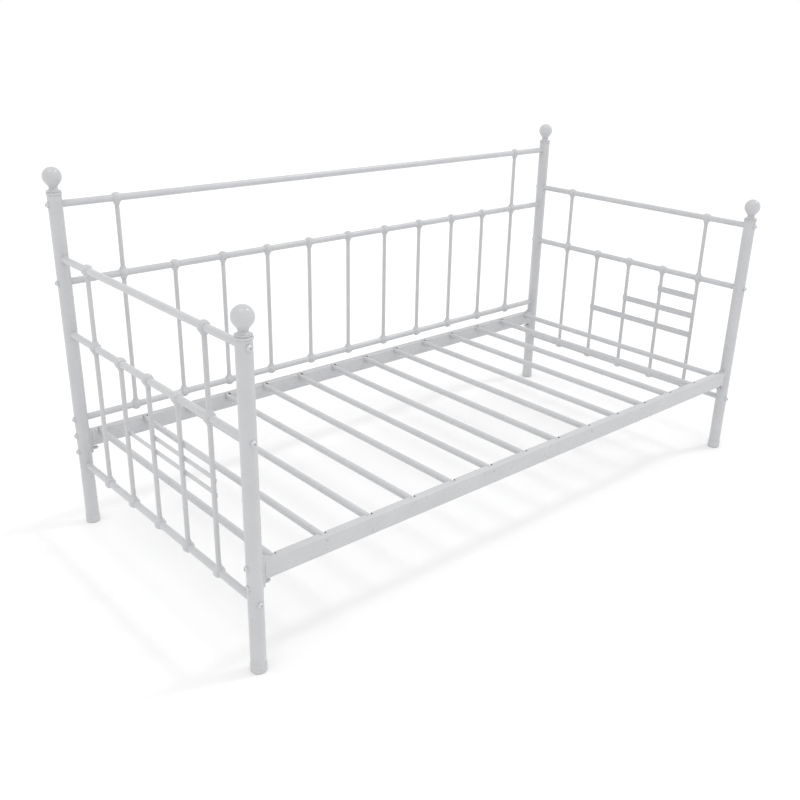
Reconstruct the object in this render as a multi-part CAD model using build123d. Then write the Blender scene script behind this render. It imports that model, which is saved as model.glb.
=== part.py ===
from build123d import *
from math import sqrt
import os

# A daybed: a metal frame with four posts, a back panel, two end panels and a slatted base.
# Millimetres. Origin on the floor at the middle of the footprint, +X along the length,
# +Y to the back panel, +Z up.

# Overall grid
POST_SPACING_X = 2060.0     # left post axis to right post axis
POST_SPACING_Y = 950.0      # front post axis to back post axis
POST_X = POST_SPACING_X / 2
POST_Y = POST_SPACING_Y / 2

# Posts, their caps and their finials
POST_R = 20.0
POST_WALL = 1.5
POST_TOP = {"front": 863.0, "back": 1026.0}
CAP_R = 21.0
CAP_HEIGHT = 26.0
CAP_FLOOR = 4.0             # thickness under the post's end
CAP_ROUND = 4.0
FINIAL_BALL_R = 26.5
FINIAL_BALL_HEIGHT = 49.0   # ball centre above the post's top
STUD_R = 4.0
STUD_TOP = 34.0             # above the post's top
PLUG_HEIGHT = 9.0

# Horizontal rails of the back and end panels
RAIL_R = 10.0
RAIL_WALL = 1.2
BACK_RAIL_Z = {"top": 999.0, "middle": 777.0, "bottom": 353.0}
END_RAIL_Z = {"top": 847.0, "middle": 624.0, "bottom": 200.0}

# Upright spindles
SPINDLE_R = 6.5
SPINDLE_WALL = 1.0
BACK_SPINDLES = 11
BACK_PITCH = 170.0
END_SPINDLES = 5
END_PITCH = 154.0

# Cast knuckle round each crossing
KNUCKLE_R = 16.2
SLEEVE_R = 11.4
SLEEVE_CHAMFER = 0.7
SLEEVE_HALF = 17.0
FUNNEL_WIDE_R = 12.0
FUNNEL_END_R = 8.0
FUNNEL_FROM = 7.0
FUNNEL_TO = 21.0

# Stepped ladder bars let into the inner side of each end panel's spindles: one, two and three bays long
LADDER_HEIGHT = {"left": 14.0, "right": 22.0}
LADDER_THICKNESS = 3.0
LADDER_BITE = 2.0
LADDER_Z = {"left": (498.0, 458.0, 418.0), "right": (550.0, 479.0, 404.0)}

# Side rails, rectangular tube, with end plates bolted to the posts. A plate is shaped to its
# post, and a tongue below the rail takes the lower bolt.
SIDE_WIDTH = 25.0
SIDE_HEIGHT = 50.0
SIDE_WALL = 1.5
SIDE_TOP = 308.0
SIDE_ROUND = 2.0
PLATE_THICKNESS = 4.0       # at its thinnest, on the post's nearest line
PLATE_WIDTH = 25.0
PLATE_TOP = 314.0
PLATE_ROUND = 5.0
TONGUE_WIDTH = 17.0
TONGUE_TOP = 262.0          # inside the wide part
TONGUE_BOTTOM = 231.0
PLATE_BOLT_Z = (245.0, 299.0)
SIDE_END = POST_X - POST_R - PLATE_THICKNESS

# Slats
SLATS = 14
SLAT_PITCH = 150.0
SLAT_R = 10.0
SLAT_WALL = 1.2
SLAT_Z = SIDE_TOP - SLAT_R
SLAT_HALF = 472.0           # to the outer face of the end plug
NOTCH_WIDTH = 20.6
NOTCH_REACH = 472.5         # Y of the notch's far edge
PLUG_DISC = 2.0
PLUG_DEPTH = 14.0
SCREWED_SLATS = (2, 6, 9, 13)

# Fasteners
BOLT_R = 3.0
BOLT_HOLE_R = 3.3
HEAD_R = 7.6
HEAD_HEIGHT = 5.2
WASHER_R = 8.4
WASHER_SEAT = 22.4          # flat outer side of the saddle washer, from the post's axis
INSERT_FROM = 23.0          # start of the rail's threaded insert, from the post's axis
INSERT_LENGTH = 18.0
BOLT_REACH = 38.0
PLATE_BOLT_REACH = 43.0
NUT_FLAT = 10.0
NUT_HEIGHT = 8.0            # the hexagon alone
NUT_NECK_R = 4.5
NUT_NECK = 7.0
SCREW_R = 2.5
SCREW_HEAD_R = 4.5
SCREW_HEAD_HEIGHT = 2.2
SCREW_REACH = 452.0

SIDES = {"left": -1, "right": 1}
ROWS = {"front": -1, "back": 1}


def rod(radius, start, end):
    """Solid round bar between two points."""
    start = Vector(*start)
    along = Vector(*end) - start
    return Solid.make_cylinder(radius, along.length, Plane(origin=start, z_dir=along))


def pipe(radius, wall, start, end):
    """Round tube, open at both ends."""
    return rod(radius, start, end) - rod(radius - wall, start, end)


def block(low, high):
    """Box between two opposite corners."""
    size = Vector(*high) - Vector(*low)
    return Pos(*low) * Box(*size, align=(Align.MIN, Align.MIN, Align.MIN))


def post_body(side, row):
    """Full outer cylinder of a post, used to shape what butts against it."""
    x = SIDES[side] * POST_X
    y = ROWS[row] * POST_Y
    return rod(POST_R, (x, y, 0), (x, y, POST_TOP[row] + 1))


def spindle_places(count, pitch):
    """Evenly spaced positions about zero."""
    return [(i - (count - 1) / 2) * pitch for i in range(count)]


def back_bolts():
    """Each back rail bolt: post axis point and the direction into the rail."""
    return [((s * POST_X, POST_Y, z), (-s, 0, 0)) for s in SIDES.values() for z in BACK_RAIL_Z.values()]


def end_bolts():
    """Each end rail bolt: post axis point and the direction into the rail."""
    return [
        ((s * POST_X, r * POST_Y, z), (0, -r, 0))
        for s in SIDES.values()
        for r in ROWS.values()
        for z in END_RAIL_Z.values()
    ]


def side_bolts():
    """Each side rail bolt: post axis point and the direction into the rail."""
    return [
        ((s * POST_X, r * POST_Y, z), (-s, 0, 0))
        for s in SIDES.values()
        for r in ROWS.values()
        for z in PLATE_BOLT_Z
    ]


def along(point, direction, distance):
    """Point a distance from another along a unit direction."""
    return tuple(p + d * distance for p, d in zip(point, direction))


def post(side, row):
    """Round tube with a hole through both walls for each bolt."""
    x = SIDES[side] * POST_X
    y = ROWS[row] * POST_Y
    body = pipe(POST_R, POST_WALL, (x, y, CAP_FLOOR), (x, y, POST_TOP[row]))
    for point, into in back_bolts() + end_bolts() + side_bolts():
        if (point[0], point[1]) == (x, y):
            body -= rod(BOLT_HOLE_R, along(point, into, -POST_R - 2), along(point, into, POST_R + 2))
    return body


def foot_cap(side, row):
    """Moulded cap that the post's lower end stands in."""
    x = SIDES[side] * POST_X
    y = ROWS[row] * POST_Y
    outer = Cylinder(CAP_R, CAP_HEIGHT, align=(Align.CENTER, Align.CENTER, Align.MIN))
    outer = fillet(outer.edges().sort_by(Axis.Z)[0], CAP_ROUND)
    body = Pos(x, y, 0) * outer
    return body - rod(POST_R, (x, y, CAP_FLOOR), (x, y, CAP_HEIGHT + 1))


def finial(side, row):
    """Turned finial: a lip, a flare, a grooved neck and a pear-shaped ball, bored for its stud."""
    ball = FINIAL_BALL_HEIGHT
    pear_meets = -17.0
    pear_r = sqrt(FINIAL_BALL_R**2 - pear_meets**2)
    with BuildPart() as turned:
        with BuildSketch(Plane.XZ):
            with BuildLine():
                Line((0, 0), (20.6, 0))
                ThreePointArc((20.6, 0), (22.4, 3.4), (20.8, 6.6))
                Line((20.8, 6.6), (18.8, 7.4))
                Line((18.8, 7.4), (18.8, 8.2))
                ThreePointArc((18.8, 8.2), (20.6, 9.7), (19.4, 11.2))
                ThreePointArc((19.4, 11.2), (14.2, 13.6), (11.8, 18.2))
                Line((11.8, 18.2), (11.2, 18.8))
                Line((11.2, 18.8), (12.0, 19.6))
                ThreePointArc((12.0, 19.6), (12.4, 21.0), (13.2, 22.4))
                Line((13.2, 22.4), (pear_r, ball + pear_meets))
                ThreePointArc(
                    (pear_r, ball + pear_meets),
                    (FINIAL_BALL_R, ball),
                    (0, ball + FINIAL_BALL_R),
                )
                Line((0, ball + FINIAL_BALL_R), (0, 0))
            make_face()
        revolve(axis=Axis.Z)
        with Locations((0, 0, STUD_TOP / 2)):
            Cylinder(STUD_R, STUD_TOP, mode=Mode.SUBTRACT)
    return Pos(SIDES[side] * POST_X, ROWS[row] * POST_Y, POST_TOP[row]) * turned.part


def finial_stud(side, row):
    """Threaded stud that holds the finial to the post's plug."""
    x = SIDES[side] * POST_X
    y = ROWS[row] * POST_Y
    top = POST_TOP[row]
    return rod(STUD_R, (x, y, top - PLUG_HEIGHT), (x, y, top + STUD_TOP))


def post_plug(side, row):
    """Threaded plug pressed into the post's upper end."""
    x = SIDES[side] * POST_X
    y = ROWS[row] * POST_Y
    top = POST_TOP[row]
    return pipe(POST_R - POST_WALL, POST_R - POST_WALL - STUD_R, (x, y, top - PLUG_HEIGHT), (x, y, top))


def back_rail(level):
    """Tube between the back posts, shaped to their round faces."""
    z = BACK_RAIL_Z[level]
    rail = pipe(RAIL_R, RAIL_WALL, (-POST_X, POST_Y, z), (POST_X, POST_Y, z))
    for side in SIDES:
        rail -= post_body(side, "back")
    return rail.solids().sort_by(SortBy.VOLUME)[-1]


def end_rail(side, level):
    """Tube between a front post and a back post."""
    x = SIDES[side] * POST_X
    z = END_RAIL_Z[level]
    rail = pipe(RAIL_R, RAIL_WALL, (x, -POST_Y, z), (x, POST_Y, z))
    for row in ROWS:
        rail -= post_body(side, row)
    return rail.solids().sort_by(SortBy.VOLUME)[-1]


def spindle(x, y, low, high, rail_axis):
    """Upright tube between two rails, shaped to their round faces."""
    body = pipe(SPINDLE_R, SPINDLE_WALL, (x, y, low), (x, y, high))
    for z in (low, high):
        centre = (x, y, z)
        body -= rod(RAIL_R, along(centre, rail_axis, -30), along(centre, rail_axis, 30))
    return body.solids().sort_by(SortBy.VOLUME)[-1]


def back_spindles():
    """The spindles below the back's middle rail."""
    return [
        spindle(x, POST_Y, BACK_RAIL_Z["bottom"], BACK_RAIL_Z["middle"], (1, 0, 0))
        for x in spindle_places(BACK_SPINDLES, BACK_PITCH)
    ]


def back_upper_spindles():
    """The first and last spindles carry on up to the top rail."""
    places = spindle_places(BACK_SPINDLES, BACK_PITCH)
    return [
        spindle(x, POST_Y, BACK_RAIL_Z["middle"], BACK_RAIL_Z["top"], (1, 0, 0))
        for x in (places[0], places[-1])
    ]


def end_spindles(side):
    """An end panel's spindles: five below the middle rail, two above it."""
    x = SIDES[side] * POST_X
    places = spindle_places(END_SPINDLES, END_PITCH)
    lower = [spindle(x, y, END_RAIL_Z["bottom"], END_RAIL_Z["middle"], (0, 1, 0)) for y in places]
    upper = [
        spindle(x, y, END_RAIL_Z["middle"], END_RAIL_Z["top"], (0, 1, 0)) for y in (places[0], places[-1])
    ]
    return lower + upper


def knuckle(centre, rail_axis, ups):
    """Cast ball with a sleeve along the rail and a funnel along each spindle it holds."""
    tip = Vector(*rail_axis) * SLEEVE_HALF
    sleeve = rod(SLEEVE_R, -tip, tip)
    sleeve = chamfer(sleeve.edges().filter_by(GeomType.CIRCLE), SLEEVE_CHAMFER)
    body = Sphere(KNUCKLE_R) + sleeve
    for up in ups:
        funnel = Cone(FUNNEL_WIDE_R, FUNNEL_END_R, FUNNEL_TO - FUNNEL_FROM)
        funnel = Pos(0, 0, (FUNNEL_TO + FUNNEL_FROM) / 2) * funnel
        if up < 0:
            funnel = Rot(180, 0, 0) * funnel
        body += funnel
    for up in ups:
        body -= rod(SPINDLE_R, (0, 0, 0), (0, 0, up * 40))
    body -= rod(RAIL_R, Vector(*rail_axis) * -30, Vector(*rail_axis) * 30)
    return Pos(*centre) * body


def knuckle_row(places, place_to_point, rail_axis, level, tall):
    """Knuckles along one rail. Tall spindles pass the middle rail, so theirs open both ways."""
    row = []
    for i, place in enumerate(places):
        is_tall = i in tall
        if level == "top" and not is_tall:
            continue
        if level == "bottom":
            ups = (1,)
        elif level == "middle" and is_tall:
            ups = (1, -1)
        else:
            ups = (-1,)
        row.append(knuckle(place_to_point(place), rail_axis, ups))
    return row


def back_knuckles(level):
    """Knuckles along one rail of the back panel."""
    places = spindle_places(BACK_SPINDLES, BACK_PITCH)
    z = BACK_RAIL_Z[level]
    return knuckle_row(places, lambda x: (x, POST_Y, z), (1, 0, 0), level, (0, BACK_SPINDLES - 1))


def end_knuckles(side):
    """All knuckles of one end panel."""
    places = spindle_places(END_SPINDLES, END_PITCH)
    x = SIDES[side] * POST_X
    group = []
    for level, z in END_RAIL_Z.items():
        group += knuckle_row(places, lambda y: (x, y, z), (0, 1, 0), level, (0, END_SPINDLES - 1))
    return group


def ladder_bars(side):
    """Flat bars welded across the spindles' inner side from the front spindle back, hollowed to sit on them."""
    s = SIDES[side]
    places = spindle_places(END_SPINDLES, END_PITCH)
    near = s * (POST_X - SPINDLE_R + LADDER_BITE)
    far = near - s * LADDER_THICKNESS
    bars = []
    for bays, z in enumerate(LADDER_Z[side], start=1):
        low = (min(near, far), places[0], z - LADDER_HEIGHT[side] / 2)
        high = (max(near, far), places[bays], z + LADDER_HEIGHT[side] / 2)
        bar = block(low, high)
        for y in places[: bays + 1]:
            bar -= rod(SPINDLE_R, (s * POST_X, y, low[2] - 1), (s * POST_X, y, high[2] + 1))
        bars.append(bar)
    return bars


def slat_places():
    """Slat positions along the bed."""
    return spindle_places(SLATS, SLAT_PITCH)


def side_rail(row):
    """Rectangular tube, its inner top corner notched for each slat's end."""
    r = ROWS[row]
    size = (SIDE_WIDTH, SIDE_HEIGHT)
    outline = RectangleRounded(*size, SIDE_ROUND)
    hollow = RectangleRounded(size[0] - 2 * SIDE_WALL, size[1] - 2 * SIDE_WALL, SIDE_ROUND / 2)
    section = Plane(origin=(-SIDE_END, r * POST_Y, SIDE_TOP - SIDE_HEIGHT / 2), x_dir=(0, 1, 0), z_dir=(1, 0, 0))
    rail = extrude(section * (outline - hollow), 2 * SIDE_END)
    inner = POST_Y - SIDE_WIDTH / 2 - 1
    for x in slat_places():
        ends = sorted((r * inner, r * NOTCH_REACH))
        low_r = NOTCH_WIDTH / 2
        low_z = SLAT_Z - SLAT_R + low_r
        rail -= block((x - low_r, ends[0], low_z), (x + low_r, ends[1], SIDE_TOP + 1))
        rail -= rod(low_r, (x, r * inner, low_z), (x, r * NOTCH_REACH, low_z))
    for number in SCREWED_SLATS:
        x = slat_places()[number - 1]
        outer = POST_Y + SIDE_WIDTH / 2
        rail -= rod(SCREW_R + 0.3, (x, r * (outer - 4), SLAT_Z), (x, r * (outer + 1), SLAT_Z))
    return rail


def end_plate(side, row):
    """Plate welded on a side rail's end, shaped to the post and drilled for two bolts."""
    s = SIDES[side]
    y = ROWS[row] * POST_Y
    wide = Pos(0, (PLATE_TOP + TONGUE_TOP - 2 * PLATE_ROUND) / 2) * RectangleRounded(
        PLATE_WIDTH, PLATE_TOP - TONGUE_TOP + 2 * PLATE_ROUND, PLATE_ROUND
    )
    tongue = Pos(0, (TONGUE_TOP + TONGUE_BOTTOM) / 2) * RectangleRounded(
        TONGUE_WIDTH, TONGUE_TOP - TONGUE_BOTTOM, TONGUE_WIDTH / 2 - 0.5
    )
    face = Plane(origin=(s * SIDE_END, y, 0), x_dir=(0, s, 0), z_dir=(s, 0, 0))
    plate = extrude(face * (wide + tongue), POST_X - SIDE_END) - post_body(side, row)
    for z in PLATE_BOLT_Z:
        plate -= rod(BOLT_HOLE_R, (s * (SIDE_END - 1), y, z), (s * POST_X, y, z))
    return plate


def end_plates():
    """The four end plates."""
    return [end_plate(side, row) for side in SIDES for row in ROWS]


def slat(x):
    """Round tube across the bed."""
    reach = SLAT_HALF - PLUG_DISC
    return pipe(SLAT_R, SLAT_WALL, (x, -reach, SLAT_Z), (x, reach, SLAT_Z))


def slat_plug(x, r, bored):
    """End plug: a disc over the tube's end and a stem inside it."""
    disc = rod(SLAT_R, (x, r * (SLAT_HALF - PLUG_DISC), SLAT_Z), (x, r * SLAT_HALF, SLAT_Z))
    stem = rod(SLAT_R - SLAT_WALL, (x, r * (SLAT_HALF - PLUG_DISC - PLUG_DEPTH), SLAT_Z), (x, r * SLAT_HALF, SLAT_Z))
    plug = disc + stem
    if bored:
        plug -= rod(SCREW_R, (x, r * (SCREW_REACH - 10), SLAT_Z), (x, r * (SLAT_HALF + 1), SLAT_Z))
    return plug


def slat_plugs(bored):
    """Plain plugs, or the bored ones that take a screw through the side rail."""
    return [
        slat_plug(x, r, bored)
        for i, x in enumerate(slat_places(), start=1)
        for r in ROWS.values()
        if (i in SCREWED_SLATS) == bored
    ]


def domed_screw(shank_r, reach, radius, height):
    """Screw with a round head on the XY plane and its plain shank below."""
    with BuildPart() as turned:
        with BuildSketch(Plane.XZ):
            with BuildLine():
                sphere_r = (radius**2 + height**2) / (2 * height)
                half_rise = height - sphere_r + sqrt(sphere_r**2 - (radius / 2) ** 2)
                Line((0, -reach), (shank_r, -reach))
                Line((shank_r, -reach), (shank_r, 0))
                Line((shank_r, 0), (radius, 0))
                ThreePointArc((radius, 0), (radius / 2, half_rise), (0, height))
                Line((0, height), (0, -reach))
            make_face()
        revolve(axis=Axis.Z)
    return turned.part


def placed(shape, seat, out):
    """Shape moved so its XY plane lies on the seat and its +Z points out."""
    return Plane(origin=seat, z_dir=out).location * shape


def slat_screws():
    """Screws through the outer wall of the side rails into the bored plugs."""
    seat = POST_Y + SIDE_WIDTH / 2
    screw = domed_screw(SCREW_R, seat - SCREW_REACH, SCREW_HEAD_R, SCREW_HEAD_HEIGHT)
    return [
        placed(screw, (slat_places()[number - 1], r * seat, SLAT_Z), (0, r, 0))
        for number in SCREWED_SLATS
        for r in ROWS.values()
    ]


def bolts(places, reach):
    """Dome-headed bolts that pass through a post into a rail."""
    bolt = domed_screw(BOLT_R, WASHER_SEAT + reach, HEAD_R, HEAD_HEIGHT)
    return [
        placed(bolt, along(point, into, -WASHER_SEAT), tuple(-d for d in into)) for point, into in places
    ]


def saddle_washers(places):
    """Washers with one side shaped to the post."""
    group = []
    for point, into in places:
        out = tuple(-d for d in into)
        washer = rod(WASHER_R, along(point, out, POST_R - 4), along(point, out, WASHER_SEAT))
        washer -= rod(POST_R, (point[0], point[1], point[2] - 20), (point[0], point[1], point[2] + 20))
        washer -= rod(BOLT_R, point, along(point, out, WASHER_SEAT + 1))
        group.append(washer.solids().sort_by(SortBy.VOLUME)[-1])
    return group


def rail_inserts():
    """Threaded inserts pressed into the ends of the round rails."""
    group = []
    for point, into in back_bolts() + end_bolts():
        start = along(point, into, INSERT_FROM)
        end = along(point, into, INSERT_FROM + INSERT_LENGTH)
        inner = RAIL_R - RAIL_WALL
        group.append(pipe(inner, inner - BOLT_R, start, end))
    return group


def side_nuts():
    """Hexagon nuts with a round neck, on the side rail bolts, inside the end plates."""
    group = []
    for point, into in side_bolts():
        seat = along(point, into, POST_R + PLATE_THICKNESS)
        shoulder = along(point, into, POST_R + PLATE_THICKNESS + NUT_NECK)
        face = Plane(origin=shoulder, x_dir=(0, 1, 0), z_dir=into)
        hexagon = RegularPolygon(NUT_FLAT / 2, 6, major_radius=False)
        nut = rod(NUT_NECK_R, seat, shoulder) + extrude(face * hexagon, NUT_HEIGHT)
        group.append(nut - rod(BOLT_R, point, along(point, into, 60)))
    return group


def numbered_slats():
    """One node per slat, counted from the left."""
    return {f"slat_{i:02d}": slat(x) for i, x in enumerate(slat_places(), start=1)}


def corner_parts():
    """Post, foot cap and finial at each corner."""
    nodes = {}
    for row in ROWS:
        for side in SIDES:
            nodes[f"post_{row}_{side}"] = post(side, row)
            nodes[f"foot_cap_{row}_{side}"] = foot_cap(side, row)
            nodes[f"finial_{row}_{side}"] = finial(side, row)
    return nodes


def corner_groups():
    """Small parts inside the tops of the posts."""
    corners = [(side, row) for row in ROWS for side in SIDES]
    return {
        "finial_studs": [finial_stud(*corner) for corner in corners],
        "post_top_plugs": [post_plug(*corner) for corner in corners],
    }


def panel_parts():
    """Rails, spindles, knuckles and ladder bars of the back and the two ends."""
    nodes = {}
    for level in BACK_RAIL_Z:
        nodes[f"back_{level}_rail"] = back_rail(level)
        nodes[f"back_{level}_knuckles"] = back_knuckles(level)
    nodes["back_spindles"] = back_spindles()
    nodes["back_upper_spindles"] = back_upper_spindles()
    for side in SIDES:
        for level in END_RAIL_Z:
            nodes[f"{side}_end_{level}_rail"] = end_rail(side, level)
        nodes[f"{side}_end_spindles"] = end_spindles(side)
        nodes[f"{side}_end_knuckles"] = end_knuckles(side)
        nodes[f"{side}_end_ladder_bars"] = ladder_bars(side)
    return nodes


def base_parts():
    """Side rails, their end plates, the slats and what holds them."""
    nodes = {f"side_rail_{row}": side_rail(row) for row in ROWS}
    nodes["side_rail_end_plates"] = end_plates()
    nodes.update(numbered_slats())
    nodes["slat_end_plugs"] = slat_plugs(False)
    nodes["slat_bored_plugs"] = slat_plugs(True)
    nodes["slat_screws"] = slat_screws()
    return nodes


def fastener_parts():
    """Bolts, washers, nuts and inserts."""
    panel = back_bolts() + end_bolts()
    return {
        "panel_rail_bolts": bolts(panel, BOLT_REACH),
        "side_rail_bolts": bolts(side_bolts(), PLATE_BOLT_REACH),
        "saddle_washers": saddle_washers(panel + side_bolts()),
        "side_rail_nuts": side_nuts(),
        "rail_end_inserts": rail_inserts(),
    }


def write(name, shape):
    """Write one node as a STEP file."""
    if isinstance(shape, list):
        shape = Compound(children=[piece for item in shape for piece in item.solids()])
    export_step(shape, f"parts/{name}.step")


os.makedirs("parts", exist_ok=True)
for parts in (corner_parts(), corner_groups(), panel_parts(), base_parts(), fastener_parts()):
    for name, shape in parts.items():
        write(name, shape)
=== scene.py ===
"""A white powder-coated metal daybed. Smooth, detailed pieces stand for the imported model's solids."""
import math

import bmesh
import bpy
import numpy as np
from mathutils import Euler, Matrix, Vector


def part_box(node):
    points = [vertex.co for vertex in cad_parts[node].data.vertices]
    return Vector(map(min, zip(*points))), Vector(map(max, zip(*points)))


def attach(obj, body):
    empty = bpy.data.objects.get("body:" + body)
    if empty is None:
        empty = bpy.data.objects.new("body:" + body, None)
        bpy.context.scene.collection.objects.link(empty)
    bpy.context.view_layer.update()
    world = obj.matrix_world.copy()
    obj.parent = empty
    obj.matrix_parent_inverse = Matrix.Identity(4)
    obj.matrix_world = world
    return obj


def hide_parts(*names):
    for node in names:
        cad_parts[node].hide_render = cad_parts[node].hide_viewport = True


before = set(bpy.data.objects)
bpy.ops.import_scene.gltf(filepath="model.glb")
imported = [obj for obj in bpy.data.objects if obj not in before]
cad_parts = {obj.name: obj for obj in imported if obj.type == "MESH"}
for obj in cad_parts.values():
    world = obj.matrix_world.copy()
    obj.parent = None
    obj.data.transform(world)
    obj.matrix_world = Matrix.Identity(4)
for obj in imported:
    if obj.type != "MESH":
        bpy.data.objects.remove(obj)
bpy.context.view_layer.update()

MM = 0.001
BODY = "root"
SIDES = ("left", "right")
ROWS = ("front", "back")
LEVELS = ("top", "middle", "bottom")
X, Y, Z = np.eye(3)

SMOOTH_ANGLE = math.radians(34)
POST_SEGMENTS = 72
RAIL_SEGMENTS = 48
SPINDLE_SEGMENTS = 36
SMALL_SEGMENTS = 36

RAIL_WALL = 1.2 * MM
POST_WALL = 1.5 * MM
SPINDLE_WALL = 1.0 * MM
SLATS = [f"slat_{number:02d}" for number in range(1, 15)]


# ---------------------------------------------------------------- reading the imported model

def middle(box):
    """Centre of a box."""
    return (np.array(box[0]) + np.array(box[1])) / 2


def extent(box):
    """Size of a box."""
    return np.array(box[1]) - np.array(box[0])


def solids(node):
    """Boxes of the separate solids of a CAD node, in order of position."""
    grown = bmesh.new()
    grown.from_mesh(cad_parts[node].data)
    bmesh.ops.remove_doubles(grown, verts=grown.verts, dist=1e-6)
    unseen = set(grown.verts)
    boxes = []
    while unseen:
        front = [unseen.pop()]
        found = []
        while front:
            vert = front.pop()
            found.append(vert.co[:])
            for edge in vert.link_edges:
                other = edge.other_vert(vert)
                if other in unseen:
                    unseen.remove(other)
                    front.append(other)
        points = np.array(found)
        boxes.append((points.min(0), points.max(0)))
    grown.free()
    return sorted(boxes, key=lambda box: tuple(np.round(middle(box), 4)))


def panel_rails(panel):
    """Names of a panel's three rails."""
    return [f"{panel}_{level}_rail" for level in LEVELS]


def rail_heights(panel):
    """Heights of a panel's three rails."""
    return [middle(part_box(name))[2] for name in panel_rails(panel)]


def nearest(values, target):
    """The value closest to the target."""
    return min(values, key=lambda value: abs(value - target))


# ---------------------------------------------------------------- mesh building

def skin(rings, loop=False):
    """Mesh over a stack of closed rings of equal length. It is capped, or joined end to end."""
    rings = [np.asarray(ring, float) for ring in rings]
    count = len(rings[0])
    verts = np.concatenate(rings)
    faces = []
    last = len(rings) if loop else len(rings) - 1
    for i in range(last):
        here = i * count
        there = ((i + 1) % len(rings)) * count
        for j in range(count):
            k = (j + 1) % count
            faces.append((here + j, here + k, there + k, there + j))
    if not loop:
        faces.append(tuple(reversed(range(count))))
        faces.append(tuple(range(len(verts) - count, len(verts))))
    return verts, faces


def joined(parts):
    """One mesh from several."""
    verts = []
    faces = []
    start = 0
    for part_verts, part_faces in parts:
        verts.append(part_verts)
        faces += [tuple(start + index for index in face) for face in part_faces]
        start += len(part_verts)
    return np.concatenate(verts), faces


def basis(axis):
    """Unit axis and two unit vectors square to it."""
    axis = np.asarray(axis, float)
    axis = axis / np.linalg.norm(axis)
    helper = Z if abs(axis[2]) < 0.9 else X
    side = np.cross(helper, axis)
    side = side / np.linalg.norm(side)
    return axis, side, np.cross(axis, side)


def circle_angles(count):
    """Evenly spaced angles round a circle."""
    return np.arange(count) * math.tau / count


def turned(levels, origin, axis=Z, segments=SMALL_SEGMENTS, loop=False):
    """Mesh turned about an axis, from (radius, height) levels. A radius may vary round the axis."""
    along, side, up = basis(axis)
    angles = circle_angles(segments)
    ring = np.cos(angles)[:, None] * side + np.sin(angles)[:, None] * up
    rings = []
    for radius, height in levels:
        radii = np.broadcast_to(np.asarray(radius, float), angles.shape)
        rings.append(np.asarray(origin) + ring * radii[:, None] + along * height)
    return skin(rings, loop)


def arc(start, through, end, count=8):
    """Points of a circular arc through three points, without the first."""
    (ax, ay), (bx, by), (cx, cy) = start, through, end
    d = 2 * (ax * (by - cy) + bx * (cy - ay) + cx * (ay - by))
    aa, bb, cc = ax * ax + ay * ay, bx * bx + by * by, cx * cx + cy * cy
    ux = (aa * (by - cy) + bb * (cy - ay) + cc * (ay - by)) / d
    uy = (aa * (cx - bx) + bb * (ax - cx) + cc * (bx - ax)) / d
    radius = math.hypot(ax - ux, ay - uy)
    first = math.atan2(ay - uy, ax - ux)
    turn_through = (math.atan2(by - uy, bx - ux) - first) % math.tau
    turn_end = (math.atan2(cy - uy, cx - ux) - first) % math.tau
    if turn_through > turn_end:
        turn_end -= math.tau
    steps = [first + turn_end * (i + 1) / count for i in range(count)]
    return [(ux + radius * math.cos(a), uy + radius * math.sin(a)) for a in steps]


def seat_depth(offsets, seat):
    """How far from a round seat's axis its surface lies, at each offset from the tube's own axis."""
    if seat is None:
        return np.zeros(len(offsets))
    seat_axis, seat_radius = seat
    across = offsets - (offsets @ seat_axis)[:, None] * seat_axis
    return np.sqrt(np.maximum(seat_radius**2 - (across**2).sum(1), 0))


def tube(start, end, radius, wall, segments, seat_start=None, seat_end=None):
    """Round tube between two points. An end with a seat is shaped to that round bar."""
    start, end = np.asarray(start, float), np.asarray(end, float)
    along, side, up = basis(end - start)
    angles = circle_angles(segments)
    ring = np.cos(angles)[:, None] * side + np.sin(angles)[:, None] * up
    rings = []
    for r, at_start in ((radius, True), (radius, False), (radius - wall, False), (radius - wall, True)):
        offsets = ring * r
        base, seat, sign = (start, seat_start, 1) if at_start else (end, seat_end, -1)
        rings.append(base + offsets + along * (sign * seat_depth(offsets, seat))[:, None])
    return skin(rings, loop=True)


def outline(width, height, radius, steps=6):
    """Points of a rectangle with rounded corners, anticlockwise."""
    points = []
    for quarter, (sx, sy) in enumerate(((1, 1), (-1, 1), (-1, -1), (1, -1))):
        cx, cy = sx * (width / 2 - radius), sy * (height / 2 - radius)
        for i in range(steps + 1):
            angle = (quarter + i / steps) * math.pi / 2
            points.append((cx + radius * math.cos(angle), cy + radius * math.sin(angle)))
    return np.array(points)


def laid(points, centre, side, up):
    """Flat outline points placed in space."""
    return np.asarray(centre) + points[:, :1] * side + points[:, 1:] * up


def bar(start, end, side, width, height, radius, chamfer):
    """Solid bar of rounded rectangular section with chamfered ends."""
    start, end = np.asarray(start, float), np.asarray(end, float)
    along = (end - start) / np.linalg.norm(end - start)
    up = np.cross(along, side)
    full = outline(width, height, radius)
    small = outline(width - 2 * chamfer, height - 2 * chamfer, max(radius - chamfer, 0.1 * MM))
    return skin([
        laid(small, start, side, up),
        laid(full, start + along * chamfer, side, up),
        laid(full, end - along * chamfer, side, up),
        laid(small, end, side, up),
    ])


def mesh_object(name, parts):
    """Linked Blender object from meshes, with its faces turned outwards."""
    verts, faces = joined(parts)
    mesh = bpy.data.meshes.new(name)
    mesh.from_pydata(verts.tolist(), [], faces)
    whole = bmesh.new()
    whole.from_mesh(mesh)
    bmesh.ops.recalc_face_normals(whole, faces=whole.faces)
    whole.to_mesh(mesh)
    whole.free()
    obj = bpy.data.objects.new(name, mesh)
    bpy.context.scene.collection.objects.link(obj)
    return obj


def piece(name, parts, material, replaced):
    """Piece from meshes, riding with the frame and standing for its CAD nodes."""
    finished(mesh_object(name, parts), material, replaced)


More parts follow.
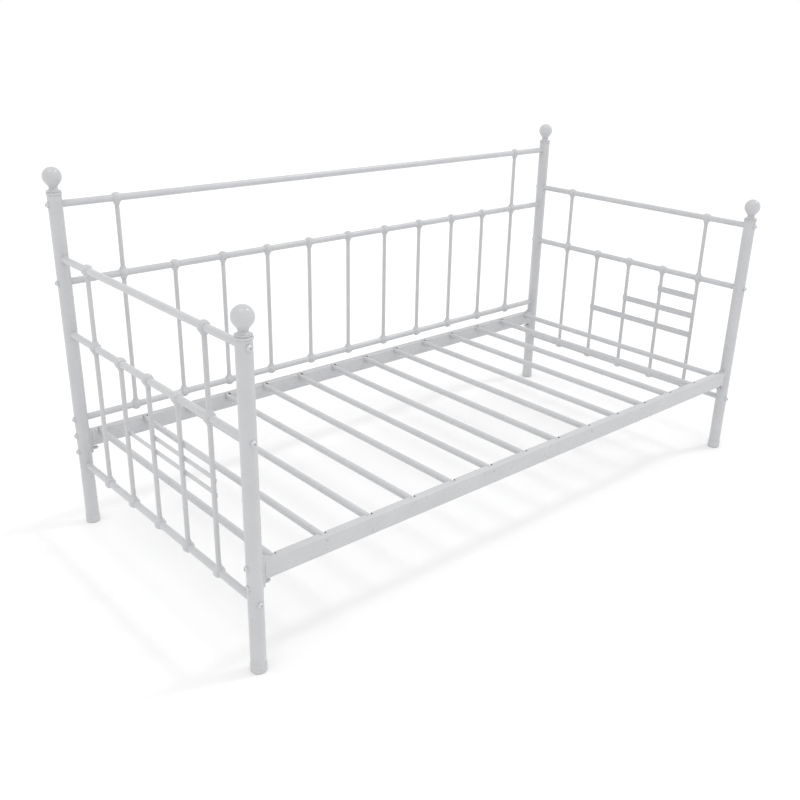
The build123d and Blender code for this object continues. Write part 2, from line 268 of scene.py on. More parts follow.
def finished(obj, material, replaced):
    """Smooth shading, material and a place under the frame's body."""
    mesh = obj.data
    mesh.polygons.foreach_set("use_smooth", [True] * len(mesh.polygons))
    mesh.set_sharp_from_angle(angle=SMOOTH_ANGLE)
    mesh.materials.clear()
    mesh.materials.append(material)
    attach(obj, BODY)
    if replaced:
        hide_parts(*replaced)


# ---------------------------------------------------------------- materials

def new_material(name):
    """Empty node material with its shader and an object-space position."""
    material = bpy.data.materials.new(name)
    material.use_nodes = True
    nodes = material.node_tree.nodes
    shader = nodes["Principled BSDF"]
    place = nodes.new("ShaderNodeTexCoord").outputs["Object"]
    return material, material.node_tree, shader, place


def noise(tree, place, scale, detail=2.0, roughness=0.5):
    """Noise texture at a scale in cycles a metre."""
    node = tree.nodes.new("ShaderNodeTexNoise")
    node.inputs["Scale"].default_value = scale
    node.inputs["Detail"].default_value = detail
    node.inputs["Roughness"].default_value = roughness
    tree.links.new(place, node.inputs["Vector"])
    return node.outputs["Fac"]


def ranged(tree, value, low, high):
    """Value mapped from 0.3..0.7 to a new range."""
    node = tree.nodes.new("ShaderNodeMapRange")
    node.inputs["From Min"].default_value = 0.3
    node.inputs["From Max"].default_value = 0.7
    node.inputs["To Min"].default_value = low
    node.inputs["To Max"].default_value = high
    tree.links.new(value, node.inputs["Value"])
    return node.outputs["Result"]


def tinted(tree, value, dark, light):
    """Colour between two, by a value."""
    node = tree.nodes.new("ShaderNodeMix")
    node.data_type = "RGBA"
    colours = [socket for socket in node.inputs if socket.type == "RGBA"]
    colours[0].default_value = (*dark, 1)
    colours[1].default_value = (*light, 1)
    tree.links.new(value, node.inputs[0])
    return [socket for socket in node.outputs if socket.type == "RGBA"][0]


def bumped(tree, height, strength, distance, below=None):
    """Bump from a height, over another bump if one is given."""
    node = tree.nodes.new("ShaderNodeBump")
    node.inputs["Strength"].default_value = strength
    node.inputs["Distance"].default_value = distance
    tree.links.new(height, node.inputs["Height"])
    if below is not None:
        tree.links.new(below, node.inputs["Normal"])
    return node.outputs["Normal"]


def shades(colour, darker, lighter):
    """A darker and a lighter shade of a colour."""
    return [[min(channel * share, 1) for channel in colour] for share in (darker, lighter)]


def powder_coat(name, colour, rough_low, rough_high, peel):
    """Baked powder coat: faint clouding, patchy gloss and an orange-peel surface."""
    material, tree, shader, place = new_material(name)
    dark, light = shades(colour, 0.965, 1.03)
    clouds = ranged(tree, noise(tree, place, scale=14, detail=3), 0, 1)
    tree.links.new(tinted(tree, clouds, dark, light), shader.inputs["Base Color"])
    patches = ranged(tree, noise(tree, place, scale=55), rough_low, rough_high)
    tree.links.new(patches, shader.inputs["Roughness"])
    orange_peel = bumped(tree, noise(tree, place, scale=420, detail=1.5), peel, 0.4 * MM)
    fine = bumped(tree, noise(tree, place, scale=1700, detail=1), peel * 0.5, 0.1 * MM, orange_peel)
    tree.links.new(fine, shader.inputs["Normal"])
    shader.inputs["IOR"].default_value = 1.5
    shader.inputs["Coat Weight"].default_value = 0.15
    shader.inputs["Coat Roughness"].default_value = 0.1
    return material


def moulded_plastic(name, colour):
    """Satin moulded plastic with a fine spark-eroded grain."""
    material, tree, shader, place = new_material(name)
    dark, light = shades(colour, 0.96, 1.02)
    clouds = ranged(tree, noise(tree, place, scale=60), 0, 1)
    tree.links.new(tinted(tree, clouds, dark, light), shader.inputs["Base Color"])
    tree.links.new(ranged(tree, noise(tree, place, scale=300), 0.42, 0.54), shader.inputs["Roughness"])
    grain = bumped(tree, noise(tree, place, scale=2600, roughness=0.6), 0.25, 0.1 * MM)
    tree.links.new(grain, shader.inputs["Normal"])
    shader.inputs["IOR"].default_value = 1.47
    return material


def zinc_plate(name, colour):
    """Dull zinc plate: slight colour drift and fine pits."""
    material, tree, shader, place = new_material(name)
    cool = (colour[0] * 0.94, colour[1] * 0.97, colour[2])
    warm = (colour[0], colour[1] * 0.985, colour[2] * 0.94)
    drift = ranged(tree, noise(tree, place, scale=130), 0, 1)
    tree.links.new(tinted(tree, drift, cool, warm), shader.inputs["Base Color"])
    patches = ranged(tree, noise(tree, place, scale=700, detail=3), 0.46, 0.62)
    tree.links.new(patches, shader.inputs["Roughness"])
    pits = bumped(tree, noise(tree, place, scale=1500, detail=3, roughness=0.6), 0.12, 0.1 * MM)
    tree.links.new(pits, shader.inputs["Normal"])
    shader.inputs["Metallic"].default_value = 1.0
    return material


COAT_COLOUR = (0.528, 0.533, 0.548)
COAT = powder_coat("white_powder_coat", COAT_COLOUR, 0.26, 0.34, 0.08)
CAST = powder_coat("white_coated_casting", COAT_COLOUR, 0.14, 0.22, 0.10)
CAP_PLASTIC = moulded_plastic("foot_cap_plastic", (0.54, 0.545, 0.555))
PLUG_PLASTIC = moulded_plastic("slat_plug_plastic", (0.50, 0.505, 0.515))
ZINC = zinc_plate("dull_zinc", (0.64, 0.65, 0.67))


# ---------------------------------------------------------------- posts, caps and finials

def make_post(row, side):
    """Tube with softened ends."""
    node = f"post_{row}_{side}"
    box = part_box(node)
    centre, radius = middle(box), extent(box)[0] / 2
    low, high = box[0][2], box[1][2]
    soft = 0.4 * MM
    inner = radius - POST_WALL
    levels = [
        (inner, low), (radius - soft, low), (radius, low + soft),
        (radius, high - soft), (radius - soft, high), (inner, high),
    ]
    mesh = turned(levels, (centre[0], centre[1], 0), segments=POST_SEGMENTS, loop=True)
    piece(f"tube_{node}", [mesh], COAT, [node])


def make_foot_cap(row, side):
    """Cap with a rounded tread, a draft line and a soft lip round the tube."""
    node = f"foot_cap_{row}_{side}"
    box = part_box(node)
    centre, radius = middle(box), extent(box)[0] / 2
    top = box[1][2]
    bore = radius - 1.0 * MM
    tread = 4.0 * MM            # radius of the rounded tread, and the floor's thickness
    dip = radius - 0.25 * MM    # bottom of the draft line
    mid_arc = 1 - math.sqrt(0.5)
    levels = [(radius - tread - 3 * MM, 0.5 * MM), (radius - tread - 2.4 * MM, 0), (radius - tread, 0)]
    levels += arc((radius - tread, 0), (radius - tread * mid_arc, tread * mid_arc), (radius, tread), 8)
    levels += [
        (radius, 8.0 * MM), (dip, 8.3 * MM), (dip, 9.0 * MM), (radius, 9.3 * MM),
        (radius, top - 0.7 * MM), (dip, top - 0.2 * MM), (radius - 0.6 * MM, top),
        (bore, top), (bore, tread),
    ]
    mesh = turned(levels, (centre[0], centre[1], 0), segments=POST_SEGMENTS)
    piece(f"moulded_{node}", [mesh], CAP_PLASTIC, [node])


def finial_profile():
    """Radius and height, in millimetres above the post, from the lip to the ball's crown."""
    ball_r, ball_z = 26.5, 49.0
    meet = -17.0                # where the pear-shaped stem runs into the ball, from the ball's centre
    pear_r = math.sqrt(ball_r**2 - meet**2)
    lip_start, lip_end = (20.2, 0.0), (20.8, 6.6)
    groove_end, bead_end = (18.8, 8.2), (19.4, 11.2)
    neck, collar, stem = (11.8, 18.2), (12.0, 19.6), (13.2, 22.4)
    profile = [(17.0, 0.0), lip_start]
    profile += arc(lip_start, (22.4, 3.4), lip_end, 14)
    profile += [(19.2, 6.9), (18.6, 7.3), (18.5, 7.8), groove_end]
    profile += arc(groove_end, (20.6, 9.7), bead_end, 10)
    profile += arc(bead_end, (14.2, 13.6), neck, 12)
    profile += [(11.2, 18.6), (11.0, 18.9), (11.2, 19.2), collar]
    profile += arc(collar, (12.4, 21.0), stem, 6)
    pear_steps, ball_steps = 4, 40
    for i in range(1, pear_steps + 1):
        share = i / pear_steps
        profile.append((stem[0] + (pear_r - stem[0]) * share, stem[1] + (ball_z + meet - stem[1]) * share))
    first = math.atan2(meet, pear_r)
    crown = math.radians(89.3)
    for i in range(1, ball_steps + 1):
        angle = first + (crown - first) * i / ball_steps
        profile.append((ball_r * math.cos(angle), ball_z + ball_r * math.sin(angle)))
    return [(r * MM, h * MM) for r, h in profile]


def make_finial(row, side):
    """Turned finial on its post."""
    node = f"finial_{row}_{side}"
    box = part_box(node)
    centre = middle(box)
    mesh = turned(finial_profile(), (centre[0], centre[1], box[0][2]), segments=POST_SEGMENTS)
    piece(f"turned_{node}", [mesh], CAST, [node])


# ---------------------------------------------------------------- panels

def post_seat():
    """Round surface that a panel rail butts against."""
    return Z, extent(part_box("post_front_left"))[0] / 2


def post_axis(row, side):
    """X and Y of a post's axis."""
    return middle(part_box(f"post_{row}_{side}"))[:2]


def rail_tube(node, start, end):
    """Panel rail between two post axes, shaped to both posts."""
    radius = extent(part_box(node))[2] / 2
    mesh = tube(start, end, radius, RAIL_WALL, RAIL_SEGMENTS, post_seat(), post_seat())
    piece(f"tube_{node}", [mesh], COAT, [node])


def make_rails():
    """The three rails of the back and of each end."""
    for node, z in zip(panel_rails("back"), rail_heights("back")):
        rail_tube(node, (*post_axis("back", "left"), z), (*post_axis("back", "right"), z))
    for side in SIDES:
        panel = f"{side}_end"
        for node, z in zip(panel_rails(panel), rail_heights(panel)):
            rail_tube(node, (*post_axis("front", side), z), (*post_axis("back", side), z))


def make_spindles(node, panel, rail_axis):
    """Upright tubes, each shaped to the rails above and below it."""
    heights = rail_heights(panel)
    seat = (rail_axis, extent(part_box(panel_rails(panel)[0]))[2] / 2)
    parts = []
    for box in solids(node):
        centre, size = middle(box), extent(box)
        low = nearest(heights, box[0][2])
        high = nearest(heights, box[1][2])
        parts.append(tube(
            (centre[0], centre[1], low), (centre[0], centre[1], high),
            size[0] / 2, SPINDLE_WALL, SPINDLE_SEGMENTS, seat, seat,
        ))
    piece(f"tubes_{node}", parts, COAT, [node])


BALL_R = 16.2 * MM
SLEEVE_R = 11.4 * MM
SLEEVE_TAPER = 0.06
SLEEVE_END = 15.5 * MM
FUNNEL_R = 15.6 * MM
FUNNEL_TAPER = 0.40
FUNNEL_END = 21.0 * MM
BLEND = 80                  # higher gives a tighter fillet between the casting's parts
CREASE_DEPTH = 1.1 * MM     # groove where the ball meets the sleeve
CREASE_WIDTH = 0.9 * MM
SEAM_HEIGHT = 0.18 * MM     # mould line round the casting
SEAM_WIDTH = 0.45 * MM
LUMP_HEIGHT = 0.16 * MM
CUBE_STEPS = 34
TINY = 1e-6                 # keeps divisions away from zero


def cube_sphere(steps):
    """Unit directions and quads of a subdivided cube blown up to a sphere."""
    ball = bmesh.new()
    bmesh.ops.create_cube(ball, size=2)
    bmesh.ops.subdivide_edges(ball, edges=ball.edges, cuts=steps, use_grid_fill=True)
    ball.verts.index_update()
    grid = np.array([vert.co[:] for vert in ball.verts])
    faces = [tuple(vert.index for vert in face.verts) for face in ball.faces]
    ball.free()
    grid = np.tan(grid * math.pi / 4)
    return grid / np.linalg.norm(grid, axis=1)[:, None], faces


DIRECTIONS, DIRECTION_FACES = cube_sphere(CUBE_STEPS)


def casting(centre, rail_axis, ups, phase):
    """Cast knuckle: a ball, a sleeve along the rail and a funnel along each spindle, with mould marks."""
    across = np.cross(Z, rail_axis)
    a, b, c = DIRECTIONS.T      # along the rail, across it and up
    ball = np.full(len(a), BALL_R)
    around = np.hypot(b, c)
    sleeve = np.minimum(
        SLEEVE_R / (around + SLEEVE_TAPER * np.abs(a)),
        SLEEVE_END / np.maximum(np.abs(a), TINY),
    )
    shapes = [ball, sleeve]
    for up in ups:
        rise = np.maximum(c * up, TINY)
        funnel = np.minimum(FUNNEL_R / (np.hypot(a, b) + FUNNEL_TAPER * rise), FUNNEL_END / rise)
        shapes.append(np.where(c * up > 0.05, funnel, 0.1 * MM))
    stack = np.array(shapes) / BALL_R
    radius = (stack**BLEND).sum(0) ** (1 / BLEND) * BALL_R
    # The crease and the seam fade out towards the sleeve's ends.
    crease = np.exp(-(((ball - sleeve) / CREASE_WIDTH) ** 2)) * np.clip(around * 3 - 1.2, 0, 1)
    radius -= CREASE_DEPTH * crease
    seam = np.exp(-((b * radius / SEAM_WIDTH) ** 2))
    radius += SEAM_HEIGHT * seam * np.clip(around * 3 - 1.4, 0, 1)
    lumps = np.sin(5 * a + phase) * np.sin(4 * b + 1.7 * phase) * np.sin(6 * c + 0.6 * phase)
    radius += LUMP_HEIGHT * lumps
    radius = np.minimum(radius, FUNNEL_END + 0.3 * MM)
    points = DIRECTIONS * radius[:, None]
    verts = centre + points[:, :1] * rail_axis + points[:, 1:2] * across + points[:, 2:] * Z
    return verts, DIRECTION_FACES


def make_knuckles(node, panel, rail_axis):
    """Castings of one node, each facing the spindles that it holds."""
    heights = rail_heights(panel)
    parts = []
    for number, box in enumerate(solids(node)):
        centre = middle(box)
        centre[2] = nearest(heights, centre[2])
        past_ball = BALL_R + 2 * MM
        ups = []
        if box[1][2] - centre[2] > past_ball:
            ups.append(1)
        if centre[2] - box[0][2] > past_ball:
            ups.append(-1)
        parts.append(casting(centre, rail_axis, ups, number * 1.31))
    piece(f"cast_{node}", parts, CAST, [node])


WELD_OUT = 2.2 * MM         # centre of a dab from the bar's middle plane, towards the outside of the bed
WELD_ASIDE = 5.9 * MM       # and from the spindle's axis
WELD_SIZE = (1.9 * MM, 2.0 * MM)
WELD_SHARE = 0.48           # half height of a dab, as a share of the bar's height


def make_ladder(side):
    """Flat bars with rounded edges, and weld dabs where they cross the spindles."""
    node = f"{side}_end_ladder_bars"
    spindles = sorted({round(middle(box)[1], 4) for box in solids(f"{side}_end_spindles")})
    bars = []
    welds = []
    for box in solids(node):
        centre, size = middle(box), extent(box)
        start = (centre[0], box[0][1], centre[2])
        end = (centre[0], box[1][1], centre[2])
        bars.append(bar(start, end, X, size[0], size[2], 1.1 * MM, 0.5 * MM))
        outward = math.copysign(1, centre[0])
        for y in spindles:
            if box[0][1] - MM < y < box[1][1] + MM:
                for edge in (-1, 1):
                    spot = (centre[0] + outward * WELD_OUT, y + edge * WELD_ASIDE, centre[2])
                    welds.append(weld_dab(spot, (*WELD_SIZE, size[2] * WELD_SHARE), y * 40 + edge * 90))
    piece(f"flat_{node}", bars, COAT, [node])
    piece(f"{side}_end_ladder_welds", welds, CAST, [])


def weld_dab(centre, sizes, phase):
    """Small lumpy bead."""
    lumps = 1 + 0.10 * np.sin(4 * DABS[:, 0] + phase) + 0.08 * np.sin(7 * DABS[:, 1] + 2 * phase)
    return np.asarray(centre) + DABS * lumps[:, None] * np.array(sizes), DAB_FACES


DABS, DAB_FACES = cube_sphere(5)


# ---------------------------------------------------------------- base

SIDE_ROUND = 2.2 * MM
SIDE_INNER_ROUND = 1.0 * MM
SIDE_WALL = 1.5 * MM
NOTCH_GAP = 0.3 * MM        # between a notch and its slat
NOTCH_END_GAP = 0.5 * MM    # and past the slat's end plug


def notch_cutter(x, inner, outer, radius, low, top):
    """Round-bottomed slot that opens upwards and inwards."""
    steps = 16
    points = [(radius * math.cos(a), -radius * math.sin(a)) for a in np.linspace(0, math.pi, steps + 1)]
    points += [(-radius, top - low), (radius, top - low)]
    flat = np.array(points)
    return skin([laid(flat, (x, inner, low), X, Z), laid(flat, (x, outer, low), X, Z)])


def side_rail_mesh(node):
    """Rectangular tube with rounded corners."""
    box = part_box(node)
    centre, size = middle(box), extent(box)
    full = outline(size[1], size[2], SIDE_ROUND)
    hollow = outline(size[1] - 2 * SIDE_WALL, size[2] - 2 * SIDE_WALL, SIDE_INNER_ROUND)
    left, right = (box[0][0], *centre[1:]), (box[1][0], *centre[1:])
    rings = [(full, left), (full, right), (hollow, right), (hollow, left)]
    return skin([laid(points, end, Y, Z) for points, end in rings], loop=True)


def make_side_rail(row):
    """Side rail with a notch at each slat."""
    node = f"side_rail_{row}"
    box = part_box(node)
    inward = -1 if row == "back" else 1
    inner_face = box[0][1] if row == "back" else box[1][1]
    slat_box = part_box(SLATS[0])
    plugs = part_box("slat_end_plugs")
    reach = (plugs[1][1] if row == "back" else plugs[0][1]) - inward * NOTCH_END_GAP
    radius = extent(slat_box)[0] / 2 + NOTCH_GAP
    low = slat_box[0][2] + radius
    top = box[1][2] + 5 * MM
    cutters = []
    for slat in SLATS:
        x = middle(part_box(slat))[0]
        cutters.append(notch_cutter(x, inner_face + inward * MM, reach, radius, low, top))
    rail = mesh_object(f"notched_{node}", [side_rail_mesh(node)])
    cutter = mesh_object("cutter", cutters)
    cut = rail.modifiers.new("notches", "BOOLEAN")
    cut.operation = "DIFFERENCE"
    cut.solver = "EXACT"
    cut.object = cutter
    depsgraph = bpy.context.evaluated_depsgraph_get()
    mesh = bpy.data.meshes.new_from_object(rail.evaluated_get(depsgraph))
    rail.modifiers.clear()
    rail.data = mesh
    bpy.data.objects.remove(cutter)
    finished(rail, COAT, [node])


PLATE_ROUND = 5.0 * MM
PLATE_SOFT = 0.6 * MM
TONGUE_WIDTH = 17.0 * MM
WAIST_BELOW = 6.0 * MM      # from the rail's underside to where the plate narrows to its tongue
TONGUE_BELOW = 2.5 * MM     # from there to the tongue's straight sides


def plate_outline(width, low, waist, high):
    """Rounded plate with a round-ended tongue below it, as (across, height) points anticlockwise."""
    soft = PLATE_ROUND
    corner = width / 2 - soft
    half = TONGUE_WIDTH / 2
    shoulder = waist - TONGUE_BELOW
    points = []
    for cx, cy, radius, start, end, count in (
        (corner, high - soft, soft, 0, 90, 9),
        (-corner, high - soft, soft, 90, 180, 9),
        (-corner, waist + soft, soft, 180, 240, 6),
        (-half, shoulder, 0, 0, 0, 1),
        (0, low + half, half, 180, 360, 21),
        (half, shoulder, 0, 0, 0, 1),
        (corner, waist + soft, soft, 300, 360, 6),
    ):
        for angle in np.radians(np.linspace(start, end, count)):
            points.append((cx + radius * math.cos(angle), cy + radius * math.sin(angle)))
    return np.array(points)


def make_end_plates():
    """Plates shaped to their posts, and the weld bead where each meets its rail."""
    node = "side_rail_end_plates"
    post_radius = post_seat()[1]
    plates = []
    beads = []
    for box in solids(node):
        centre, size = middle(box), extent(box)
        side = "left" if centre[0] < 0 else "right"
        row = "front" if centre[1] < 0 else "back"
        outward = math.copysign(1, centre[0])
        axis_x = post_axis(row, side)[0]
        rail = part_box(f"side_rail_{row}")
        junction = rail[0][0] if side == "left" else rail[1][0]
        full = plate_outline(size[1], box[0][2], rail[0][2] - WAIST_BELOW, box[1][2])
        hub = full.mean(0)
        reach = full - hub
        lengths = np.linalg.norm(reach, axis=1)[:, None]
        small = hub + reach * (1 - PLATE_SOFT / lengths)
        rings = [
            plate_ring(small, centre[1], np.full(len(small), junction)),
            plate_ring(full, centre[1], np.full(len(full), junction + outward * PLATE_SOFT)),
            plate_ring(full, centre[1], axis_x - outward * np.sqrt(post_radius**2 - full[:, 0] ** 2)),
        ]
        plates.append(skin(rings))
        beads.append(weld_bead(rail, junction, -outward))
    piece(f"shaped_{node}", plates, COAT, [node])
    piece("side_rail_weld_beads", beads, CAST, [])


def plate_ring(points, y, xs):
    """Outline points placed across a post at given X positions."""
    return np.column_stack([xs, y + points[:, 0], points[:, 1]])


BEAD_STEPS = 260
BEAD_R = 1.7 * MM
RIPPLE = 0.28 * MM
RIPPLE_LENGTH = 4.6 * MM


def along_line(points, lengths, marks):
    """Points of a closed line at given distances, from the distances of its corners."""
    return np.column_stack([np.interp(marks, lengths, points[:, i]) for i in range(2)])


def weld_bead(rail, x, inward):
    """Rippled bead round the section of a side rail, against its end plate."""
    centre, size = middle(rail), extent(rail)
    edge = outline(size[1], size[2], SIDE_ROUND, 8)
    inner = outline(size[1] - 6 * MM, size[2] - 6 * MM, SIDE_ROUND, 8)
    edge, inner = [np.vstack([points, points[:1]]) for points in (edge, inner)]
    lengths = np.concatenate([[0], np.cumsum(np.linalg.norm(np.diff(edge, axis=0), axis=1))])
    marks = np.arange(BEAD_STEPS) / BEAD_STEPS * lengths[-1]
    path = along_line(edge, lengths, marks)
    outward = path - along_line(inner, lengths, marks)
    outward /= np.linalg.norm(outward, axis=1)[:, None]
    radii = BEAD_R + RIPPLE * np.abs(np.sin(marks / RIPPLE_LENGTH * math.pi))
    angles = circle_angles(10)
    rings = []
    for radius, (y, z), (out_y, out_z) in zip(radii, path, outward):
        away = out_y * Y + out_z * Z
        spot = np.array([x + inward * 0.2 * MM, centre[1] + y, centre[2] + z])
        rings.append(spot + radius * (np.cos(angles)[:, None] * X + np.sin(angles)[:, None] * away))
    return skin(rings, loop=True)


def make_slats():
    """Slat tubes."""
    for node in SLATS:
        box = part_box(node)
        centre, radius = middle(box), extent(box)[2] / 2
        start = (centre[0], box[0][1], centre[2])
        end = (centre[0], box[1][1], centre[2])
        mesh = tube(start, end, radius, RAIL_WALL, RAIL_SEGMENTS)
        piece(f"tube_{node}", [mesh], COAT, [node])


def make_plugs(node):
    """End plugs with a softened disc and a stem in the tube."""
    parts = []
    for box in solids(node):
        centre, size = middle(box), extent(box)
        out = math.copysign(1, centre[1])
        face = box[1][1] if out > 0 else box[0][1]
        radius = size[0] / 2
        stem = radius - RAIL_WALL
        disc = 2 * MM
        levels = [
            (stem - 0.6 * MM, -size[1]), (stem, -size[1] + 0.8 * MM), (stem, -disc), (radius, -disc),
            (radius, -0.9 * MM), (radius - 0.3 * MM, -0.3 * MM), (radius - 0.9 * MM, 0),
            (radius - 4 * MM, 0), (radius - 4.4 * MM, -0.4 * MM),
        ]
        parts.append(turned(levels, (centre[0], face, centre[2]), Y * out))
    piece(f"moulded_{node}", parts, PLUG_PLASTIC, [node])


# ---------------------------------------------------------------- fasteners

BOLT_R = 3.0 * MM
BOLT_HEAD = 5.2 * MM
BOLT_KEY = 2.2 * MM         # half the width of the hexagon socket
SCREW_R = 2.4 * MM
SCREW_HEAD = 2.2 * MM
SCREW_KEY = 1.4 * MM
THREAD_PITCH = 1.0 * MM
WASHER_BORE = 3.2 * MM
NUT_NECK_R = 4.5 * MM
NUT_NECK = 7.0 * MM
NUT_SEGMENTS = 72
NUT_ROUNDING = (0, 0.15, 0.3, 0.5, 0.75)    # heights, in millimetres, of the rounded corners' levels


def hexagon(apothem, segments=SMALL_SEGMENTS):
    """Radius of a regular hexagon at evenly spaced angles."""
    sixth = math.pi / 3
    return apothem / np.cos((circle_angles(segments) + sixth / 2) % sixth - sixth / 2)


def outer_end(box):
    """Outward axis, outer tip, length and head radius of a fastener that faces away from the bed's middle."""
    centre, size = middle(box), extent(box)
    index = int(np.argmax(size))
    out = np.eye(3)[index] * math.copysign(1, centre[index])
    tip = centre + out * size[index] / 2
    return out, tip, size[index], np.delete(size, index).min() / 2


def dome(radius, height, count=10):
    """Levels of a round head from its crown's flat to its rim, outside first."""
    sphere = (radius**2 + height**2) / (2 * height)
    levels = []
    for i in range(count + 1):
        r = radius * (0.52 + 0.48 * i / count)
        levels.append((r, -sphere + math.sqrt(sphere**2 - r**2)))
    return levels


def bolt(box, shank, height, key, thread_from):
    """Domed socket-head bolt. Its end is threaded."""
    out, tip, length, radius = outer_end(box)
    crown = dome(radius, height)
    rim_z, edge_z = crown[0][1], crown[-1][1]
    socket = hexagon(key)
    levels = [
        (0.3 * MM, rim_z - 2.4 * MM), (socket * 0.6, rim_z - 2.3 * MM), (socket, rim_z - 2.1 * MM),
        (socket, rim_z - 0.25 * MM), (socket + 0.25 * MM, rim_z),
    ]
    levels += crown[:-1]
    levels += [
        (radius, edge_z + 0.35 * MM), (radius, -height + 0.2 * MM), (radius - 0.4 * MM, -height),
        (shank, -height), (shank, -thread_from),
    ]
    position = thread_from
    while position < length - 1.6 * MM:
        levels += [(shank * 0.9, -position - THREAD_PITCH / 2), (shank, -position - THREAD_PITCH)]
        position += THREAD_PITCH
    levels.append((shank * 0.8, -length))
    return turned(levels, tip, out)


def make_bolts(node, thread_length):
    """All bolts of one node."""
    parts = []
    for box in solids(node):
        length = extent(box).max()
        parts.append(bolt(box, BOLT_R, BOLT_HEAD, BOLT_KEY, length - thread_length))
    piece(f"socket_{node}", parts, ZINC, [node])


def make_screws():
    """Slat screws with small round heads."""
    parts = [bolt(box, SCREW_R, SCREW_HEAD, SCREW_KEY, 6 * MM) for box in solids("slat_screws")]
    piece("socket_slat_screws", parts, ZINC, ["slat_screws"])


def make_washers():
    """Saddle washers, shaped to the posts on one side."""
    seat_axis, post_radius = post_seat()
    posts = [post_axis(row, side) for row in ROWS for side in SIDES]
    parts = []
    for box in solids("saddle_washers"):
        centre, size = middle(box), extent(box)
        px, py = min(posts, key=lambda p: math.hypot(p[0] - centre[0], p[1] - centre[1]))
        index = 0 if abs(centre[0] - px) > abs(centre[1] - py) else 1
        out = np.eye(3)[index] * math.copysign(1, centre[index])
        base = np.array([px, py, centre[2]])
        face = abs((box[1] if out[index] > 0 else box[0])[index] - base[index])
        radius = size[2] / 2
        _, side, up = basis(out)
        angles = circle_angles(SMALL_SEGMENTS)
        ring = np.cos(angles)[:, None] * side + np.sin(angles)[:, None] * up
        rings = []
        for r in (WASHER_BORE, radius):
            offsets = ring * r
            depth = seat_depth(offsets, (seat_axis, post_radius - 0.05 * MM))
            rings.append(base + offsets + out * depth[:, None])
        for r, height in ((radius, face - 0.5 * MM), (radius - 0.45 * MM, face), (WASHER_BORE, face)):
            rings.append(base + ring * r + out * height)
        parts.append(skin(rings, loop=True))
    piece("dished_saddle_washers", parts, ZINC, ["saddle_washers"])


def make_nuts():
    """Hexagon nuts with rounded-over corners, on a round neck."""
    parts = []
    for box in solids("side_rail_nuts"):
        centre, size = middle(box), extent(box)
        inward = -math.copysign(1, centre[0])
        thickness = size[0]
        start = (centre[0] - inward * thickness / 2, centre[1], centre[2])
        flat = min(size[1], size[2]) / 2
        shape = hexagon(flat, NUT_SEGMENTS)
        rounding = [(np.minimum(shape, flat + 0.1 * MM + t * MM), t * MM) for t in NUT_ROUNDING]
        levels = [(BOLT_R, 0), (NUT_NECK_R - 0.3 * MM, 0), (NUT_NECK_R, 0.3 * MM), (NUT_NECK_R, NUT_NECK)]
        levels += [(radius, NUT_NECK + height) for radius, height in rounding]
        levels += [(radius, thickness - height) for radius, height in reversed(rounding)]
        levels.append((BOLT_R, thickness))
        parts.append(turned(levels, start, X * inward, segments=NUT_SEGMENTS, loop=True))
    piece("hexagon_side_rail_nuts", parts, CAST, ["side_rail_nuts"])


# ---------------------------------------------------------------- assembly

for row_name in ROWS:
    for side_name in SIDES:
        make_post(row_name, side_name)
        make_foot_cap(row_name, side_name)
        make_finial(row_name, side_name)
    make_side_rail(row_name)

make_rails()
make_spindles("back_spindles", "back", X)
make_spindles("back_upper_spindles", "back", X)
for level_name in LEVELS:
    make_knuckles(f"back_{level_name}_knuckles", "back", X)
for side_name in SIDES:
    make_spindles(f"{side_name}_end_spindles", f"{side_name}_end", Y)
    make_knuckles(f"{side_name}_end_knuckles", f"{side_name}_end", Y)
    make_ladder(side_name)

make_end_plates()
make_slats()
make_plugs("slat_end_plugs")
make_plugs("slat_bored_plugs")
make_bolts("panel_rail_bolts", 12 * MM)
make_bolts("side_rail_bolts", 14 * MM)
make_screws()
make_washers()
make_nuts()

for hidden in ("finial_studs", "post_top_plugs", "rail_end_inserts"):
    inner_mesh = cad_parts[hidden].data
    inner_mesh.materials.clear()
    inner_mesh.materials.append(ZINC)


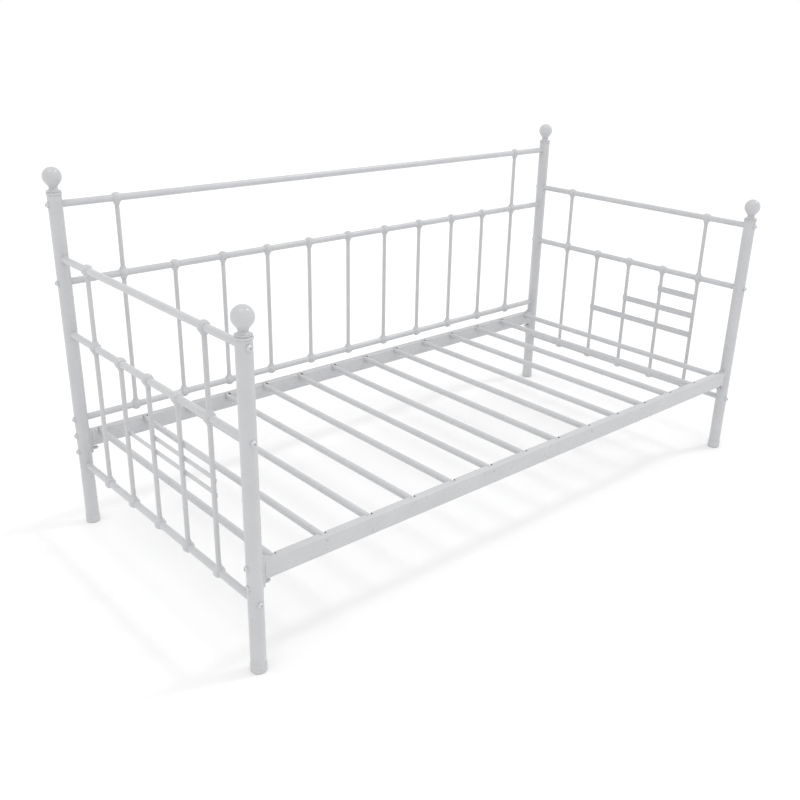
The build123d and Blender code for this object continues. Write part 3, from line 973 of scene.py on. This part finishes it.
# ---------------------------------------------------------------- floor, light and camera

def make_floor():
    """Plain pale floor."""
    mesh = bpy.data.meshes.new("floor")
    half = 60.0
    corners = [(-half, -half, 0), (half, -half, 0), (half, half, 0), (-half, half, 0)]
    mesh.from_pydata(corners, [], [(0, 1, 2, 3)])
    floor = bpy.data.objects.new("floor", mesh)
    bpy.context.scene.collection.objects.link(floor)
    material, tree, shader, place = new_material("pale_floor")
    grain = ranged(tree, noise(tree, place, scale=3), 0, 1)
    tree.links.new(tinted(tree, grain, [0.90] * 3, [0.92] * 3), shader.inputs["Base Color"])
    shader.inputs["Roughness"].default_value = 0.9
    shader.inputs["Specular IOR Level"].default_value = 0.1
    mesh.materials.append(material)


def make_sun(name, toward, strength, spread):
    """Far soft light, so that all of the floor is lit alike. Spread is its width in degrees."""
    light = bpy.data.lights.new(name, "SUN")
    light.energy = strength
    light.angle = math.radians(spread)
    holder = bpy.data.objects.new(name, light)
    holder.rotation_mode = "QUATERNION"
    holder.rotation_quaternion = Vector(toward).to_track_quat("Z", "Y")
    bpy.context.scene.collection.objects.link(holder)


def make_world(strength):
    """Even white surroundings."""
    world = bpy.data.worlds.new("studio")
    world.use_nodes = True
    background = world.node_tree.nodes["Background"]
    background.inputs["Color"].default_value = (1, 1, 1, 1)
    background.inputs["Strength"].default_value = strength
    bpy.context.scene.world = world


def make_camera():
    """Camera above the front left corner, looking down across the bed."""
    data = bpy.data.cameras.new("camera")
    data.sensor_width = 36
    data.lens = 41.846
    data.clip_end = 100
    camera = bpy.data.objects.new("camera", data)
    camera.location = (-2.0214, -2.09145, 1.50485)
    camera.rotation_euler = Euler([math.radians(angle) for angle in (67.447, -1.1523, -41.1965)])
    bpy.context.scene.collection.objects.link(camera)
    bpy.context.scene.camera = camera


make_floor()
make_world(1.0)
make_sun("overhead", (-0.256, -0.085, 0.96), 0.35, 30)
make_sun("key", (0.599, -0.202, 0.778), 0.42, 9)
make_camera()
bpy.context.scene.view_settings.view_transform = "Standard"
